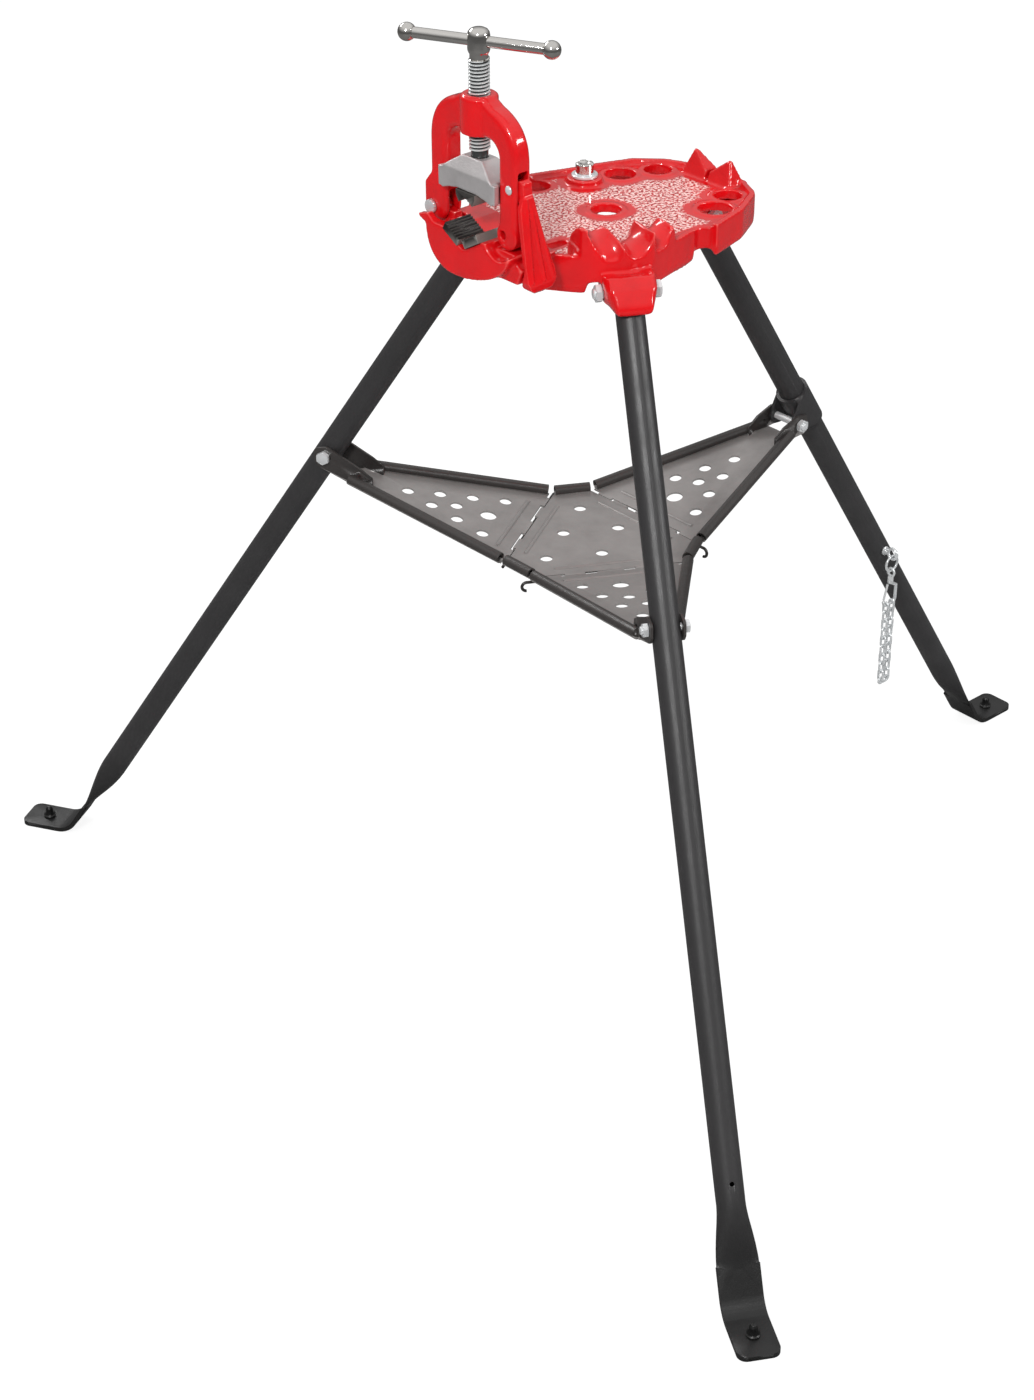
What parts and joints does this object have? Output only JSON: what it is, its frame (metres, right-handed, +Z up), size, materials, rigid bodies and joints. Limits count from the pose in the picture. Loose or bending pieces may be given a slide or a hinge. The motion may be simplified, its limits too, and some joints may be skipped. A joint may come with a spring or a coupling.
{
  "type": "tripod pipe vise stand",
  "caption": "Folding tripod stand with a cast table, yoke pipe vise, conduit bending horns, pipe rest, ceiling brace screw, hinged tool tray and a chain on the rear leg.",
  "frame": {"origin": "on the floor at the middle of the three pads' footprint, the bottom centre of the bounding box", "axes": "+Z up, X along the clamped pipe with the vise at -X and the pipe rest at +X, +Y to the side away from the bending horns"},
  "size_m": [1.0228, 1.1654, 1.011],
  "materials": {
    "red_paint": "glossy enamel on sand-cast iron",
    "black_coat": "fine textured powder coat",
    "grey_paint": "warm grey metallic paint",
    "zinc": "bright zinc plate",
    "chrome": "nickel plate",
    "jaw_steel": "dark oxide tool steel",
    "satin_steel": "satin grey casting",
    "black_steel": "black oxide"
  },
  "bodies": {
    "table": {"vise_table": "red_paint", "lower_jaw_left": "jaw_steel", "lower_jaw_right": "jaw_steel", "yoke_pin": "zinc", "leg_bolts": "zinc", "leg_nuts": "zinc"},
    "yoke": {"yoke": "red_paint", "hook_rivet": "zinc"},
    "hook": {"hook_latch": "red_paint"},
    "jaw_slider": {"jaw_holder": "satin_steel", "upper_jaw": "jaw_steel"},
    "screw": {"vise_screw": "chrome"},
    "handle": {"handle_bar": "chrome", "handle_balls": "chrome"},
    "brace_crown": {"brace_crown": "chrome"},
    "brace_screw": {"brace_screw": "zinc"},
    "leg_front_far": {"leg_front_far": "black_coat", "foot_stud_front_far": "black_steel", "tray_bolt_front_far": "zinc", "tray_nut_front_far": "zinc"},
    "leg_front_near": {"leg_front_near": "black_coat", "foot_stud_front_near": "black_steel", "tray_bolt_front_near": "zinc", "tray_nut_front_near": "zinc"},
    "leg_rear": {"leg_rear": "black_coat", "foot_stud_rear": "black_steel", "tray_bolt_rear": "zinc", "tray_nut_rear": "zinc", "rear_collar": "black_coat", "chain_eye": "zinc"},
    "tray_plate": {"tray_plate": "grey_paint", "hinge_wires": "zinc"},
    "tray_arm_front_far": {"tray_arm_front_far": "grey_paint"},
    "tray_arm_front_near": {"tray_arm_front_near": "grey_paint"},
    "tray_arm_rear": {"tray_arm_rear": "grey_paint"},
    "snap": {"chain_ring": "zinc", "snap_hook": "zinc"},
    "snap_gate": {"snap_gate": "zinc"},
    "chain": {"chain_links": "zinc"}
  },
  "joints": [
    {"name": "yoke_hinge", "type": "hinge", "parent": "table", "child": "yoke", "pos_m": [-0.30877, 0.055, 0.836], "axis": [-1, 0, 0], "range_deg": [0, 95]},
    {"name": "hook_pivot", "type": "hinge", "parent": "yoke", "child": "hook", "pos_m": [-0.30877, -0.049, 0.88], "axis": [-1, 0, 0], "range_deg": [0, 35]},
    {"name": "jaw_slide", "type": "slide", "parent": "yoke", "child": "jaw_slider", "axis": [0, 0, 1], "range_m": [-0.019, 0.012]},
    {"name": "screw_turn", "type": "hinge", "parent": "jaw_slider", "child": "screw", "pos_m": [-0.30877, 0, 0.95], "axis": [0, 0, 1], "range_deg": [-2160, 1361]},
    {"name": "handle_slide", "type": "slide", "parent": "screw", "child": "handle", "axis": [0.4384, -0.8988, 0], "range_m": [-0.049, 0.049]},
    {"name": "brace_rise", "type": "slide", "parent": "table", "child": "brace_crown", "axis": [0, 0, 1], "range_m": [0, 0.045]},
    {"name": "brace_turn", "type": "hinge", "parent": "brace_crown", "child": "brace_screw", "pos_m": [-0.11277, 0.075, 0.806], "axis": [0, 0, 1], "range_deg": [0, 8101]},
    {"name": "tray_lift", "type": "slide", "parent": "table", "child": "tray_plate", "axis": [0, 0, 1], "range_m": [0, 0.05884]},
    {"name": "leg_hinge_front_far", "type": "hinge", "parent": "table", "child": "leg_front_far", "pos_m": [-0.22227, 0.09959, 0.775], "axis": [0.866, 0.5, 0], "range_deg": [0, 1.57]},
    {"name": "arm_hinge_front_far", "type": "hinge", "parent": "tray_plate", "child": "tray_arm_front_far", "pos_m": [-0.19927, 0.05976, 0.465], "axis": [-0.866, -0.5, 0], "range_deg": [0, 14.58]},
    {"name": "leg_hinge_front_near", "type": "hinge", "parent": "table", "child": "leg_front_near", "pos_m": [-0.22227, -0.09959, 0.775], "axis": [-0.866, 0.5, 0], "range_deg": [0, 1.57]},
    {"name": "arm_hinge_front_near", "type": "hinge", "parent": "tray_plate", "child": "tray_arm_front_near", "pos_m": [-0.19927, -0.05976, 0.465], "axis": [0.866, -0.5, 0], "range_deg": [0, 14.58]},
    {"name": "leg_hinge_rear", "type": "hinge", "parent": "table", "child": "leg_rear", "pos_m": [-0.03877, 0, 0.775], "axis": [0, -1, 0], "range_deg": [0, 0.8603]},
    {"name": "arm_hinge_rear", "type": "hinge", "parent": "tray_plate", "child": "tray_arm_rear", "pos_m": [-0.09577, 0, 0.465], "axis": [0, 1, 0], "range_deg": [0, 15.84]},
    {"name": "chain_swing", "type": "hinge", "parent": "leg_rear", "child": "snap", "pos_m": [0.26212, -0.0245, 0.2967], "axis": [0, 1, 0], "range_deg": [-45, 45]},
    {"name": "snap_gate_hinge", "type": "hinge", "parent": "snap", "child": "snap_gate", "pos_m": [0.25772, -0.0245, 0.2665], "axis": [0, -1, 0], "range_deg": [0, 25], "stiffness_Nm_per_rad": 0.01, "springref_deg": -5.73},
    {"name": "chain_drop", "type": "hinge", "parent": "snap", "child": "chain", "pos_m": [0.26212, -0.0245, 0.2403], "axis": [1, 0, 0], "range_deg": [-40, 40]}
  ],
  "couplings": [
    {"joint": "screw_turn", "follows": "jaw_slide", "rad_per_m": 1979},
    {"joint": "brace_turn", "follows": "brace_rise", "rad_per_m": 3141.6},
    {"joint": "leg_hinge_front_far", "follows": "tray_lift", "rad_per_m": 0.4652},
    {"joint": "arm_hinge_front_far", "follows": "tray_lift", "rad_per_m": 4.3207},
    {"joint": "leg_hinge_front_near", "follows": "tray_lift", "rad_per_m": 0.4652},
    {"joint": "arm_hinge_front_near", "follows": "tray_lift", "rad_per_m": 4.3207},
    {"joint": "leg_hinge_rear", "follows": "tray_lift", "rad_per_m": 0.25489},
    {"joint": "arm_hinge_rear", "follows": "tray_lift", "rad_per_m": 4.6959}
  ]
}
